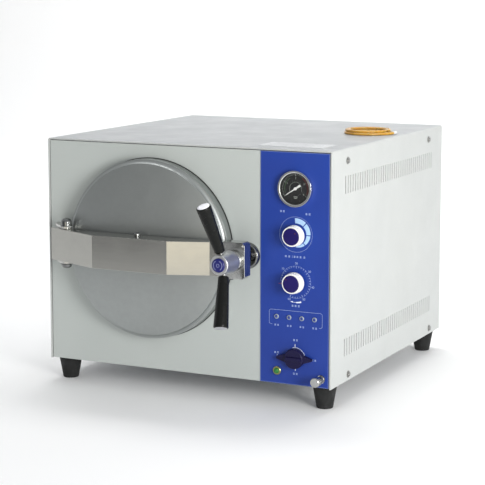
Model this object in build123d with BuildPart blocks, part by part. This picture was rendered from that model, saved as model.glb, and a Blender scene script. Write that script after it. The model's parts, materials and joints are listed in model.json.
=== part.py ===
from build123d import *
from math import cos, radians, sin
import os

# Benchtop autoclave. Millimetres, +Z up, -Y is the front. The origin is on the bench, under the
# middle of the whole object. Heights are above the bench. Depths, unless they say otherwise,
# are measured back from the outer face of the front panel, and are negative in front of it.

# Overall size
cabinet_width = 480.0
cabinet_depth = 480.0
cabinet_height = 350.0
foot_height = 34.0
hub_centre_y = -78.0
grip_end = 96.0
grip_radius = 10.4  # at the rounded tip of a grip
tip_round = 0.6
handle_tilt = 24.0  # degrees that each grip leans forward
tip_lean = (grip_end - tip_round) * sin(radians(handle_tilt))
front_reach = -hub_centre_y + tip_lean + grip_radius * cos(radians(handle_tilt))
rear_reach = 27.0  # the ring of the safety valve, behind the cabinet's depth
front_y = (front_reach - rear_reach - cabinet_depth) / 2

# Sheet metal
cover_sheet = 1.2
panel_sheet = 1.5
hem = 2.2  # folded edge of the cover
hem_depth = 9.0
cover_front = -1.5  # the cover's edge stands this far in front of the panel's face
bottom_z = foot_height
top_z = foot_height + cabinet_height
half_width = cabinet_width / 2
inner_half = half_width - cover_sheet
fit_gap = 1.1  # between a folded sheet part and the one around it

# Chamber and door
door_x = -55.5
door_z = foot_height + 189.5
chamber_radius = 125.0
chamber_length = 420.0
chamber_wall = 3.0
flange_radius = 132.0
door_radius = 137.0
door_rim = 23.0  # how far the rim of the door stands out
door_crown = 35.0  # how far its middle stands out
door_flat = 26.0  # radius of the flat at its middle
door_sheet = 2.5

# Crossbar, hinge and clamp
arm_half = 25.0
arm_plate = 3.4
arm_front = -75.0
arm_back = -40.0
arm_end_x = 83.0
hinge_x = -188.0
hinge_y = -34.0
hinge_pin_radius = 5.0
ear = 4.0
ear_gap = 0.3
pivot_y = -48.0
pivot_radius = 4.0
clamp_x = 105.5
screw_radius = 8.0
pilot_radius = 7.0
hub_radius = 17.0
hub_face_radius = 14.6
handle_turn = 9.0  # degrees that the pair of grips is turned from the vertical
grip_start = 20.0
running = 0.05  # radial clearance of a turning fit

# Control column, at the right of the front
column_x = 183.5
overlay_thickness = 0.8
overlay_left = 126.2
overlay_right = 236.3
overlay_low = bottom_z + 1.5
overlay_high = top_z - 3.5
gauge_z = bottom_z + 293.5
pressure_z = bottom_z + 225.0
timer_z = bottom_z + 155.5
lamp_z = bottom_z + 102.2
lamp_pitch = 20.3
selector_z = bottom_z + 42.0
button_x = 154.0
button_z = bottom_z + 20.7
cock_x = 225.0
cock_z = bottom_z + 14.7
knob_gap = 0.3
spindle_radius = 3.0

# Hose coil on the top
coil_x = 183.8
coil_y = 282.0
coil_radius = 40.0
coil_inner = 27.4
coil_height = 8.8

os.makedirs("parts", exist_ok=True)


def save(part, name):
    """Labels a finished part and writes it."""
    part.label = name
    export_step(part, f"parts/{name}.step")


def fore_plane(x, z, depth=0.0):
    """Plane facing the front at a depth. Its own x runs to the right and its own y runs up."""
    return Plane(origin=(x, front_y + depth, z), x_dir=(1, 0, 0), z_dir=(0, -1, 0))


def level_plane(height):
    """Level plane whose own y is depth."""
    return Plane(origin=(0, front_y, height), x_dir=(1, 0, 0), z_dir=(0, 0, 1))


def side_plane():
    """Upright plane beyond the left side. Its own x is depth and its own y is height."""
    return Plane(origin=(-cabinet_width, front_y, 0), x_dir=(0, 1, 0), z_dir=(1, 0, 0))


def turned(x, z, points, mode=Mode.ADD):
    """Solid turned about the fore-and-aft line through x, z. Each point is (radius, depth)."""
    with BuildSketch(Plane(origin=(x, front_y, z), x_dir=(1, 0, 0), z_dir=(0, 0, 1))) as outline:
        with BuildLine():
            Polyline(*points, close=True)
        make_face()
    revolve(outline.sketch, axis=Axis((x, front_y, z), (0, 1, 0)), mode=mode)


def turned_up(x, depth, points, mode=Mode.ADD):
    """Solid turned about the vertical line through x, depth. Each point is (radius, height)."""
    with BuildSketch(fore_plane(x, 0, depth)) as outline:
        with BuildLine():
            Polyline(*points, close=True)
        make_face()
    revolve(outline.sketch, axis=Axis((x, front_y + depth, 0), (0, 0, 1)), mode=mode)


def block(x, depth, z, mode=Mode.ADD):
    """Box between two planes each way. Each argument is a pair, low and high."""
    with Locations(((x[0] + x[1]) / 2, front_y + (depth[0] + depth[1]) / 2, (z[0] + z[1]) / 2)):
        Box(x[1] - x[0], depth[1] - depth[0], z[1] - z[0], mode=mode)


def bore(x, z, radius, depth, mode=Mode.SUBTRACT):
    """Round hole along the fore-and-aft line through x, z, between two depths."""
    with BuildSketch(fore_plane(x, z, depth[1])) as circle:
        Circle(radius)
    extrude(circle.sketch, amount=depth[1] - depth[0], mode=mode)


def bore_up(x, depth, radius, z, mode=Mode.SUBTRACT):
    """Round hole along the vertical line through x, depth, between two heights."""
    base = Plane(origin=(x, front_y + depth, z[0]), x_dir=(1, 0, 0), z_dir=(0, 0, 1))
    with BuildSketch(base) as circle:
        Circle(radius)
    extrude(circle.sketch, amount=z[1] - z[0], mode=mode)


def outline_up(points, z, mode=Mode.ADD):
    """Plan outline of (x, depth) points, raised between two heights."""
    with BuildSketch(level_plane(z[0])) as plan:
        with BuildLine():
            Polyline(*points, close=True)
        make_face()
    extrude(plan.sketch, amount=z[1] - z[0], mode=mode)


# ---------------------------------------------------------------- casing

slot_rows = (bottom_z + 52.5, bottom_z + 296.0)
slot_count = 40
slot_pitch = 9.6
slot_first = 51.0
slot_height = 27.0
slot_width = 2.6
low_screws = [(66.0, bottom_z + 9.5), (427.0, bottom_z + 9.5)]  # depth and height
high_screws = [(58.0, bottom_z + 331.5), (411.0, bottom_z + 331.5)]
case_screw_radius = 2.0
case_hole_radius = case_screw_radius + running
cover_rear = cover_front + cabinet_depth
corner_round = 3.5


def cover_section(thickness, depth):
    """Upside-down U of sheet, as seen from the front, at a depth."""
    with BuildSketch(fore_plane(0, bottom_z + cabinet_height / 2, depth)) as section:
        Rectangle(cabinet_width, cabinet_height)
        fillet(section.vertices().group_by(Axis.Y)[-1], radius=corner_round)
        with Locations((0, -thickness)):
            Rectangle(cabinet_width - 2 * thickness, cabinet_height, mode=Mode.SUBTRACT)
    return section.sketch


def side_holes(places):
    """Screw holes right across the cabinet. Each place is (depth, height)."""
    with BuildSketch(side_plane()) as holes:
        with Locations(*places):
            Circle(case_hole_radius)
    extrude(holes.sketch, amount=2 * cabinet_width, mode=Mode.SUBTRACT)


with BuildPart() as cover:
    extrude(cover_section(cover_sheet, cover_rear), amount=cabinet_depth)
    for hem_rear in (cover_front + hem_depth, cover_rear):
        extrude(cover_section(hem, hem_rear), amount=hem_depth)
    with BuildSketch(side_plane()) as slots:
        for row_z in slot_rows:
            for number in range(slot_count):
                with Locations((slot_first + number * slot_pitch, row_z)):
                    SlotOverall(slot_height, slot_width, rotation=90)
    extrude(slots.sketch, amount=2 * cabinet_width, mode=Mode.SUBTRACT)
    side_holes(low_screws + high_screws)
save(cover.part, "cover")

panel_half = half_width - hem - fit_gap
panel_low = bottom_z + fit_gap
panel_high = top_z - hem - fit_gap
panel_fold = 12.0
boss_sleeve_radius = 12.0
hinge_base = (-220.0, -195.0)


def sheet_pan(depth, fold, toward_rear):
    """Upright sheet panel with its four edges folded over, as deep as fold."""
    low, high = (depth, depth + fold) if toward_rear else (depth - fold, depth)
    face = (depth, depth + panel_sheet) if toward_rear else (depth - panel_sheet, depth)
    block((-panel_half, panel_half), (low, high), (panel_low, panel_high))
    hollow = (face[1], high + 1) if toward_rear else (low - 1, face[0])
    block((-panel_half + panel_sheet, panel_half - panel_sheet), hollow,
          (panel_low + panel_sheet, panel_high - panel_sheet), Mode.SUBTRACT)


gauge_body_radius = 25.0
neck_radius = 5.0  # threaded necks of the controls
lamp_body_radius = 3.0
cock_neck_radius = 4.0
hole_gap = 0.1
lamp_places = [column_x + step * lamp_pitch for step in (-1.5, -0.5, 0.5, 1.5)]


def control_holes():
    """Holes for the controls, through the panel or its overlay."""
    through = (-2, panel_sheet + 1)
    bore(column_x, gauge_z, gauge_body_radius + 3 * hole_gap, through)
    for knob_z in (pressure_z, timer_z, selector_z):
        bore(column_x, knob_z, neck_radius + hole_gap, through)
    for lamp_x in lamp_places:
        bore(lamp_x, lamp_z, lamp_body_radius + hole_gap, through)
    bore(button_x, button_z, neck_radius + hole_gap, through)
    bore(cock_x, cock_z, cock_neck_radius + hole_gap, through)


with BuildPart() as front_panel:
    sheet_pan(0.0, panel_fold, True)
    bore(door_x, door_z, flange_radius + 0.8, (-1, panel_sheet + 1))
    bore(clamp_x, door_z, boss_sleeve_radius + running, (-1, panel_sheet + 1))
    control_holes()
save(front_panel.part, "front_panel")

valve_x = door_x - 40.0
valve_z = door_z + 70.0
inlet_x = 160.0
inlet_z = bottom_z + 60.0
inlet_size = (28.0, 20.5)
rear_face = cover_rear - 1.0
rear_screws = [(x, z) for x in (-200.0, 0.0, 200.0) for z in (panel_low + 12.0, panel_high - 12.0)]

with BuildPart() as rear_panel:
    sheet_pan(rear_face, panel_fold, False)
    bore(valve_x, valve_z, 9.1, (rear_face - 3, rear_face + 1))
    block((inlet_x - inlet_size[0] / 2, inlet_x + inlet_size[0] / 2), (rear_face - 3, rear_face + 1),
          (inlet_z - inlet_size[1] / 2, inlet_z + inlet_size[1] / 2), Mode.SUBTRACT)
    for screw_x, screw_z in rear_screws:
        bore(screw_x, screw_z, case_hole_radius, (rear_face - 3, rear_face + 1))
    with BuildSketch(fore_plane(30.0, bottom_z + 230.0, rear_face + 1)) as louvres:
        with GridLocations(34.0, 12.0, 6, 8):
            SlotOverall(26.0, 4.0)
    extrude(louvres.sketch, amount=3, mode=Mode.SUBTRACT)
save(rear_panel.part, "rear_panel")

tray_half = inner_half - 0.3
base_front = panel_fold + 1.0
base_rear = rear_face - panel_fold - 1.0
base_wall = 24.0
foot_x = half_width - 20.0
foot_depths = (25.0, cabinet_depth - 30.0)
foot_screw_radius = 3.0
foot_screw_top = foot_height + 5.0

with BuildPart() as base_tray:
    block((-tray_half, tray_half), (base_front, base_rear), (bottom_z, bottom_z + base_wall))
    block((-tray_half + panel_sheet, tray_half - panel_sheet), (base_front - 1, base_rear + 1),
          (bottom_z + panel_sheet, bottom_z + base_wall + 1), Mode.SUBTRACT)
    for foot_depth in foot_depths:
        for side in (-1, 1):
            bore_up(side * foot_x, foot_depth, foot_screw_radius + running, (bottom_z - 1, bottom_z + 3))
    side_holes(low_screws)
    with BuildSketch(level_plane(bottom_z - 1)) as floor_vents:
        with Locations((150.0, 250.0)):
            with GridLocations(14.0, 60.0, 8, 4):
                SlotOverall(40.0, 5.0, rotation=90)
    extrude(floor_vents.sketch, amount=4, mode=Mode.SUBTRACT)
save(base_tray.part, "base_tray")

rail_z = (bottom_z + 318.0, bottom_z + 343.0)
with BuildPart() as top_rails:
    for side in (-1, 1):
        outer = side * tray_half
        inner = side * (tray_half - panel_sheet)
        web = side * (tray_half - 15.0)
        block(sorted((outer, inner)), (base_front, base_rear), rail_z)
        block(sorted((inner, web)), (base_front, base_rear), (rail_z[1] - panel_sheet, rail_z[1]))
    side_holes(high_screws)
save(top_rails.part, "top_rails")

washer_radius = 5.5
washer = 0.8
head_radius = 3.8
head_height = 2.0
shank_length = 10.0


def case_screw(plane):
    """Round-headed screw with a washer, standing on a plane, its shank running inwards."""
    with BuildSketch(plane) as rings:
        Circle(washer_radius)
    extrude(rings.sketch, amount=washer)
    with BuildSketch(plane.offset(washer)) as head:
        Circle(head_radius)
    extrude(head.sketch, amount=head_height, taper=18)
    with BuildSketch(plane) as shank:
        Circle(case_screw_radius)
    extrude(shank.sketch, amount=-shank_length)


with BuildPart() as case_screws:
    for side in (-1, 1):
        for screw_depth, screw_z in low_screws + high_screws:
            place = (side * half_width, front_y + screw_depth, screw_z)
            case_screw(Plane(origin=place, x_dir=(0, 1, 0), z_dir=(side, 0, 0)))
    for screw_x, screw_z in rear_screws:
        place = (screw_x, front_y + rear_face, screw_z)
        case_screw(Plane(origin=place, x_dir=(1, 0, 0), z_dir=(0, 1, 0)))
save(case_screws.part, "case_screws")

foot_top_radius = 18.0
foot_bottom_radius = 12.5
with BuildPart() as feet:
    for foot_depth in foot_depths:
        for side in (-1, 1):
            turned_up(side * foot_x, foot_depth,
                      [(0, 2.5), (7.5, 2.5), (8.5, 0), (foot_bottom_radius - 0.8, 0),
                       (foot_bottom_radius, 1.2),
                       (foot_top_radius - 0.4, foot_height - 4), (foot_top_radius, foot_height - 3),
                       (foot_top_radius, foot_height), (foot_screw_radius, foot_height),
                       (foot_screw_radius, foot_screw_top), (0, foot_screw_top)])
save(feet.part, "feet")

plate_x = (104.0, 212.0)
plate_depth = (32.0, 89.0)
with BuildPart() as instruction_plate:
    with BuildSketch(level_plane(top_z)) as plate_outline:
        with Locations(((plate_x[0] + plate_x[1]) / 2, (plate_depth[0] + plate_depth[1]) / 2)):
            RectangleRounded(plate_x[1] - plate_x[0], plate_depth[1] - plate_depth[0], 3.0)
    extrude(plate_outline.sketch, amount=0.5)
save(instruction_plate.part, "instruction_plate")

# ---------------------------------------------------------------- chamber and what it holds

chamber_end = chamber_length + 20.0
end_round = 17.0
port_x = door_x + 45.0
port_z = door_z + 70.0
port_end = chamber_end + 12.0
heater_x = 40.0
heater_drop = 90.0
heater_radius = 5.0

with BuildPart() as chamber_vessel:
    with BuildSketch(Plane(origin=(door_x, front_y, door_z), x_dir=(1, 0, 0), z_dir=(0, 0, 1))) as wall:
        outer = chamber_radius + chamber_wall
        outer_round = end_round + chamber_wall
        inner_end = chamber_end - chamber_wall
        with BuildLine():
            Polyline((0, chamber_end), (outer - outer_round, chamber_end))
            RadiusArc((outer - outer_round, chamber_end), (outer, chamber_end - outer_round), outer_round)
            Polyline((outer, chamber_end - outer_round), (outer, 9), (flange_radius, 9), (flange_radius, 0),
                     (chamber_radius, 0), (chamber_radius, inner_end - end_round))
            RadiusArc((chamber_radius, inner_end - end_round),
                      (chamber_radius - end_round, inner_end), -end_round)
            Polyline((chamber_radius - end_round, inner_end), (0, inner_end), (0, chamber_end))
        make_face()
    revolve(wall.sketch, axis=Axis((door_x, front_y, door_z), (0, 1, 0)))
    for port in ((port_x, port_z), (valve_x, valve_z)):
        bore(port[0], port[1], 9.0, (inner_end + 1, port_end), Mode.ADD)
        bore(port[0], port[1], 4.0, (inner_end - 1, port_end + 1))
    for side in (-1, 1):
        bore(door_x + side * heater_x, door_z - heater_drop, heater_radius, (inner_end - 1,
                                                                             chamber_end + 1))
save(chamber_vessel.part, "chamber_vessel")

jacket_inner = chamber_radius + chamber_wall + 0.3
jacket_outer = chamber_radius + 21.0
with BuildPart() as insulation_jacket:
    turned(door_x, door_z, [(jacket_inner, 14), (jacket_outer, 14), (jacket_outer, 408),
                            (jacket_inner, 408)])
save(insulation_jacket.part, "insulation_jacket")

with BuildPart() as vessel_saddles:
    for saddle_depth in (60.0, 330.0):
        block((door_x - 95, door_x + 95), (saddle_depth, saddle_depth + 30),
              (bottom_z + panel_sheet, door_z - 60))
    bore(door_x, door_z, jacket_outer + 0.3, (0, 400))
save(vessel_saddles.part, "vessel_saddles")

heater_front = 45.0
heater_rear = 458.0
with BuildPart() as heating_element:
    with BuildLine(level_plane(door_z - heater_drop)) as heater_path:
        FilletPolyline((door_x - heater_x, heater_rear), (door_x - heater_x, heater_front),
                       (door_x + heater_x, heater_front), (door_x + heater_x, heater_rear), radius=30.0)
    with BuildSketch(Plane(origin=(door_x - heater_x, front_y + heater_rear, door_z - heater_drop),
                           x_dir=(1, 0, 0), z_dir=(0, -1, 0))) as heater_section:
        Circle(heater_radius - 0.05)
    sweep(sections=heater_section.sketch, path=heater_path.line)
save(heating_element.part, "heating_element")

rack_half = 100.8
rack_sheet = 1.2
rack_front = 22.0
rack_rear = 384.0
rack_middle = (rack_front + rack_rear) / 2
rack_low = door_z - 70.0
rack_high = door_z + 58.0
tray_width = 196.0
tray_front = 30.0
tray_length = 340.0
tray_height = 16.0
tray_sheet = 1.0
tray_floors = (door_z - 62.0, door_z - 18.0, door_z + 26.0)
ledge = 8.0
window_heights = (door_z - 40.0, door_z + 4.0, door_z + 45.0)
bar_half = 4.0
bar_thickness = 3.0

with BuildPart() as rack_walls:
    for side in (-1, 1):
        outer = door_x + side * rack_half
        inner = outer - side * rack_sheet
        block(sorted((outer, inner)), (rack_front, rack_rear), (rack_low, rack_high))
        for floor_z in tray_floors:
            block(sorted((inner, inner - side * ledge)), (rack_front, rack_rear),
                  (floor_z - rack_sheet, floor_z))
    with BuildSketch(side_plane()) as windows:
        for window_z in window_heights:
            with Locations((rack_middle, window_z)):
                with GridLocations(86.0, 1.0, 4, 1):
                    SlotOverall(64.0, 14.0)
    extrude(windows.sketch, amount=2 * cabinet_width, mode=Mode.SUBTRACT)
with BuildPart() as rack_bars:
    inner_reach = rack_half - rack_sheet
    for bar_depth in (rack_front + bar_half, rack_middle, rack_rear - bar_half):
        block((door_x - inner_reach, door_x + inner_reach), (bar_depth - bar_half, bar_depth + bar_half),
              (rack_low, rack_low + bar_thickness))
save(Compound(rack_walls.part.solids() + rack_bars.part.solids()), "tray_rack")

tray_x = (door_x - tray_width / 2, door_x + tray_width / 2)
tray_rear = tray_front + tray_length
with BuildPart() as tray_plates:
    for floor_z in tray_floors:
        block(tray_x, (tray_front, tray_rear), (floor_z, floor_z + tray_sheet))
        with BuildSketch(level_plane(floor_z - 1)) as perforation:
            with Locations((door_x, tray_front + tray_length / 2)):
                with GridLocations(30.0, 52.0, 6, 6):
                    SlotOverall(38.0, 8.0, rotation=90)
        extrude(perforation.sketch, amount=3, mode=Mode.SUBTRACT)
with BuildPart() as tray_ends:
    for floor_z in tray_floors:
        for end_depth in (tray_front, tray_rear - tray_sheet):
            block(tray_x, (end_depth, end_depth + tray_sheet),
                  (floor_z + tray_sheet, floor_z + tray_height))
with BuildPart() as tray_sides:
    for floor_z in tray_floors:
        for edge in (tray_x[0], tray_x[1] - tray_sheet):
            block((edge, edge + tray_sheet), (tray_front + tray_sheet, tray_rear - tray_sheet),
                  (floor_z + tray_sheet, floor_z + tray_height))
save(Compound(tray_plates.part.solids() + tray_ends.part.solids() + tray_sides.part.solids()), "trays")

# ---------------------------------------------------------------- door

with BuildPart() as door_dish:
    with BuildSketch(Plane(origin=(door_x, front_y, door_z), x_dir=(1, 0, 0), z_dir=(0, 0, 1))) as dish:
        with BuildLine():
            Line((door_radius, -1), (door_radius, -17))
            RadiusArc((door_radius, -17), (door_radius - 6, -door_rim), -6.3)
            ThreePointArc((door_radius - 6, -door_rim), (82, -31.3), (door_flat, -door_crown))
            Polyline((door_flat, -door_crown), (0, -door_crown), (0, -door_crown + door_sheet),
                     (door_flat, -door_crown + door_sheet))
            ThreePointArc((door_flat, -door_crown + door_sheet), (81.6, -28.8),
                          (door_radius - 7, -door_rim + door_sheet))
            RadiusArc((door_radius - 7, -door_rim + door_sheet), (door_radius - door_sheet, -16), 4.6)
            Polyline((door_radius - door_sheet, -16), (door_radius - door_sheet, -1), (door_radius, -1))
        make_face()
    revolve(dish.sketch, axis=Axis((door_x, front_y, door_z), (0, 1, 0)))
save(door_dish.part, "door_dish")

seal = (125.5, 131.5)
plate_radius = door_radius - door_sheet - 0.2
with BuildPart() as door_pressure_plate:
    turned(door_x, door_z, [(0, -10), (plate_radius, -10), (plate_radius, -1), (seal[1], -1), (seal[1], -6),
                            (seal[0], -6), (seal[0], -1), (0, -1)])
save(door_pressure_plate.part, "door_pressure_plate")

with BuildPart() as door_gasket:
    turned(door_x, door_z, [(seal[0] + 0.2, -6), (seal[1] - 0.2, -6), (seal[1] - 0.2, -2.2),
                            (seal[1] - 1.6, -0.1), (seal[0] + 1.6, -0.1), (seal[0] + 0.2, -2.2)])
save(door_gasket.part, "door_gasket")

lug_half = arm_half - arm_plate - 0.5
with BuildPart() as door_lug:
    turned(door_x, door_z, [(0, -door_crown), (door_flat - 2, -door_crown),
                            (door_flat - 2, -door_crown - 3),
                            (door_flat - 4, -door_crown - 4), (0, -door_crown - 4)])
    block((door_x - 9, door_x + 9), (pivot_y, -door_crown - 4), (door_z - lug_half, door_z + lug_half))
    bore_up(door_x, pivot_y, 9.0, (door_z - lug_half, door_z + lug_half), Mode.ADD)
    bore_up(door_x, pivot_y, pivot_radius, (door_z - lug_half - 1, door_z + lug_half + 1))
save(door_lug.part, "door_lug")


def dome_nut(x, depth, z, up, radius, height, thread, thread_depth):
    """Domed nut standing on a level face at z, turned up or down, over the end of a rod."""
    sides = [(thread, 0), (radius, 0), (radius, 0.52 * height), (0.9 * radius, 0.72 * height),
             (0.66 * radius, 0.9 * height), (0.3 * radius, 0.985 * height), (0, height), (0, thread_depth),
             (thread, thread_depth)]
    turned_up(x, depth, [(r, z + up * h) for r, h in sides])


pin_head_radius = 6.0
pin_head_height = 3.0
with BuildPart() as door_pivot_pin:
    bore_up(door_x, pivot_y, pivot_radius, (door_z - arm_half, door_z + arm_half), Mode.ADD)
    dome_nut(door_x, pivot_y, door_z + arm_half, 1, 5.0, 5.5, 1.0, 0.5)
    bore_up(door_x, pivot_y, pin_head_radius, (door_z - arm_half - pin_head_height, door_z - arm_half),
            Mode.ADD)
save(door_pivot_pin.part, "door_pivot_pin")

# ---------------------------------------------------------------- crossbar and hinge

bar_front = [(-217.0, -32.0), (-118.0, arm_front), (9.0, arm_front), (69.0, -53.0), (arm_end_x, -53.0)]
bar_back = [(arm_end_x, -33.0), (60.0, arm_back), (-166.0, arm_back), (-178.0, -26.0), (-198.0, -26.0),
            (-217.0, -30.0)]
with BuildPart() as crossbar_arm:
    outline_up(bar_front + bar_back, (door_z - arm_half, door_z + arm_half))
    channel = [(x, depth + arm_plate) for x, depth in bar_front]
    open_back = [(-227.0, channel[0][1] + 4.4)] + channel[1:-1] + [(arm_end_x + 9, channel[-1][1]),
                                                                  (arm_end_x + 9, -10), (-227.0, -10)]
    outline_up(open_back, (door_z - arm_half + arm_plate, door_z + arm_half - arm_plate), Mode.SUBTRACT)
    bore_up(hinge_x, hinge_y, hinge_pin_radius + running, (door_z - 30, door_z + 30))
    bore_up(door_x, pivot_y, pivot_radius, (door_z - 30, door_z + 30))
save(crossbar_arm.part, "crossbar_arm")

ear_inner = arm_half + ear_gap
ear_outer = ear_inner + ear
ear_plan = [(hinge_base[0], 0), (hinge_base[1], 0), (hinge_base[1], -21), (hinge_x + 6, hinge_y + 6),
            (hinge_x + 8, hinge_y), (hinge_x + 6, hinge_y - 6), (hinge_x, hinge_y - 8),
            (hinge_x - 7, hinge_y - 5), (hinge_base[0], -14)]
with BuildPart() as hinge_bracket:
    block(hinge_base, (-3, 0), (door_z - ear_outer, door_z + ear_outer))
    for side in (-1, 1):
        outline_up(ear_plan, sorted((door_z + side * ear_inner, door_z + side * ear_outer)))
    bore_up(hinge_x, hinge_y, hinge_pin_radius, (door_z - 40, door_z + 40))
save(hinge_bracket.part, "hinge_bracket")

pin_end = 4.0  # the hinge pin reaches this far into each nut
pin_half = ear_outer + pin_end
with BuildPart() as hinge_pin:
    bore_up(hinge_x, hinge_y, hinge_pin_radius, (door_z - pin_half, door_z + pin_half), Mode.ADD)
save(hinge_pin.part, "hinge_pin")

with BuildPart() as hinge_nuts:
    dome_nut(hinge_x, hinge_y, door_z + ear_outer, 1, 8.2, 12.5, hinge_pin_radius, pin_end)
    dome_nut(hinge_x, hinge_y, door_z - ear_outer, -1, 7.6, 7.0, hinge_pin_radius, pin_end)
save(hinge_nuts.part, "hinge_nuts")

block_x = (arm_end_x, 125.0)
block_depth = (-52.0, -32.0)
block_half = 27.0
with BuildPart() as arm_end_block:
    block(block_x, block_depth, (door_z - block_half, door_z + block_half))
    chamfer(arm_end_block.edges().filter_by(Axis.Y), length=4.0)
    bore(clamp_x, door_z, screw_radius + running, (-60, -20))
save(arm_end_block.part, "arm_end_block")

# ---------------------------------------------------------------- clamp

shoulder = 0.2
collar_depth = (-60.6, block_depth[0] - shoulder)
hub_back = collar_depth[0] - shoulder
hub_front = -96.5
screw_head = -69.0
screw_step = -24.0
screw_tip = 6.0

with BuildPart() as clamp_screw:
    turned(clamp_x, door_z, [(0, screw_head), (screw_radius, screw_head), (screw_radius, screw_step),
                             (pilot_radius, screw_step + 1), (pilot_radius, screw_tip - 2),
                             (pilot_radius - 2, screw_tip), (0, screw_tip)])
save(clamp_screw.part, "clamp_screw")

collar_radius = 15.2
groove_radius = 14.2
with BuildPart() as thrust_collar:
    rib = (collar_depth[1] - collar_depth[0]) / 6
    rings = [(screw_radius + running, collar_depth[0])]
    for number in range(3):
        start = collar_depth[0] + 2 * number * rib
        rings += [(collar_radius, start), (collar_radius, start + rib), (groove_radius, start + 1.2 * rib),
                  (groove_radius, start + 1.8 * rib)]
    rings += [(groove_radius + 0.6, collar_depth[1]), (screw_radius + running, collar_depth[1])]
    turned(clamp_x, door_z, rings)
save(thrust_collar.part, "thrust_collar")

hub_centre = Vector(clamp_x, front_y + hub_centre_y, door_z)
grip_directions = [
    Vector(-side * sin(radians(handle_turn)) * cos(radians(handle_tilt)), -sin(radians(handle_tilt)),
           side * cos(radians(handle_turn)) * cos(radians(handle_tilt)))
    for side in (1, -1)
]
rod_radius = 4.0
rod_start = 7.0
rod_end = 60.0


def grip_plane(direction):
    """Plane through a grip's axis. Its own y runs along the axis, from the middle of the hub."""
    across = direction.cross(Vector(0, 1, 0)).normalized()
    return Plane(origin=hub_centre, x_dir=across, z_dir=across.cross(direction))


def turned_on(direction, points, mode=Mode.ADD):
    """Solid turned about a grip's axis. Each point is (radius, distance from the hub's middle)."""
    with BuildSketch(grip_plane(direction)) as outline:
        with BuildLine():
            Polyline(*points, close=True)
        make_face()
    revolve(outline.sketch, axis=Axis(hub_centre, direction), mode=mode)


with BuildPart() as handle_hub:
    turned(clamp_x, door_z, [(0, hub_front), (hub_face_radius - 1, hub_front),
                             (hub_face_radius, hub_front + 1),
                             (hub_radius, hub_back - 2), (hub_radius - 1.5, hub_back),
                             (screw_radius, hub_back), (screw_radius, screw_head), (0, screw_head)])
    for direction in grip_directions:
        turned_on(direction, [(0, rod_start), (rod_radius, rod_start), (rod_radius, 30),
                              (0, 30)], Mode.SUBTRACT)
save(handle_hub.part, "handle_hub")

hub_cap_radius = 10.3
with BuildPart() as hub_cap:
    turned(clamp_x, door_z, [(0, hub_front), (hub_cap_radius, hub_front), (hub_cap_radius, hub_front - 1.5),
                             (hub_cap_radius - 1.2, hub_front - 2.6), (0, hub_front - 3)])
save(hub_cap.part, "hub_cap")

with BuildPart() as handle_rods:
    for direction in grip_directions:
        turned_on(direction, [(0, rod_start), (rod_radius, rod_start), (rod_radius, rod_end), (0, rod_end)])
save(handle_rods.part, "handle_rods")

with BuildPart() as handle_grips:
    for direction in grip_directions:
        turned_on(direction, [(rod_radius, grip_start), (7.2, grip_start), (7.8, grip_start + 1.2),
                              (9.4, 55), (grip_radius + 0.6, grip_end - 2),
                              (grip_radius, grip_end - tip_round),
                              (grip_radius - 1, grip_end), (0, grip_end), (0, rod_end),
                              (rod_radius, rod_end)])
save(handle_grips.part, "handle_grips")

boss_radius = 20.0
boss_mouth = 10.5
boss_nut = 8.4
with BuildPart() as latch_boss:
    turned(clamp_x, door_z, [(boss_mouth, -8), (boss_radius - 4, -8), (boss_radius - 1.2, -6.6),
                             (boss_radius, -3.6),
                             (boss_radius, 0), (boss_sleeve_radius, 0), (boss_sleeve_radius, 14),
                             (boss_nut, 14), (boss_nut, -2), (boss_mouth, -2)])
save(latch_boss.part, "latch_boss")

# ---------------------------------------------------------------- control column

with BuildPart() as control_overlay:
    block((overlay_left, overlay_right), (-overlay_thickness, 0), (overlay_low, overlay_high))
    control_holes()
save(control_overlay.part, "control_overlay")

front_skin = -overlay_thickness
gauge_radius = 27.0
dial_radius = 23.0
arbor_radius = 0.75
arbor_hole_radius = arbor_radius + 0.1
with BuildPart() as gauge_case:
    turned(column_x, gauge_z, [(0, -2), (2, -2), (2, -1.4), (dial_radius, -1.4), (dial_radius, -2.6),
                               (gauge_body_radius, -2.6), (gauge_body_radius, 28), (6, 30), (6, 44),
                               (0, 44)])
    bore(column_x, gauge_z, arbor_hole_radius, (-3, 4))
save(gauge_case.part, "gauge_case")

with BuildPart() as gauge_bezel:
    turned(column_x, gauge_z, [(25.1, front_skin), (gauge_radius, front_skin), (gauge_radius, -6.4),
                               (26.4, -8), (24.6, -8), (23.2, -7.2), (23.2, -5.4), (25.1, -5.4)])
save(gauge_bezel.part, "gauge_bezel")

with BuildPart() as gauge_dial:
    turned(column_x, gauge_z, [(arbor_hole_radius, -2.8), (dial_radius, -2.8), (dial_radius, -2),
                               (arbor_hole_radius, -2)])
save(gauge_dial.part, "gauge_dial")

with BuildPart() as gauge_lens:
    turned(column_x, gauge_z, [(0, -6.9), (23.1, -6.7), (23.1, -5.5), (0, -5.7)])
save(gauge_lens.part, "gauge_lens")

needle_zero = 237.0  # degrees clockwise from the top of the dial
needle_length = 17.5
needle_tail = 9.5
with BuildPart() as gauge_needle:
    turned(column_x, gauge_z, [(0, -5.1), (2.2, -5.1), (2.2, -3.4), (arbor_radius, -3.4), (arbor_radius, 3),
                               (0, 3)])
    with BuildSketch(fore_plane(column_x, gauge_z, -3.9)) as pointer:
        with BuildLine(Plane.XY.rotated((0, 0, -needle_zero))):
            Polyline((-0.9, 0), (-0.35, needle_length), (0.35, needle_length), (0.9, 0),
                     (1.7, -needle_tail), (-1.7, -needle_tail), close=True)
        make_face()
    extrude(pointer.sketch, amount=0.6)
save(gauge_needle.part, "gauge_needle")

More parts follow.
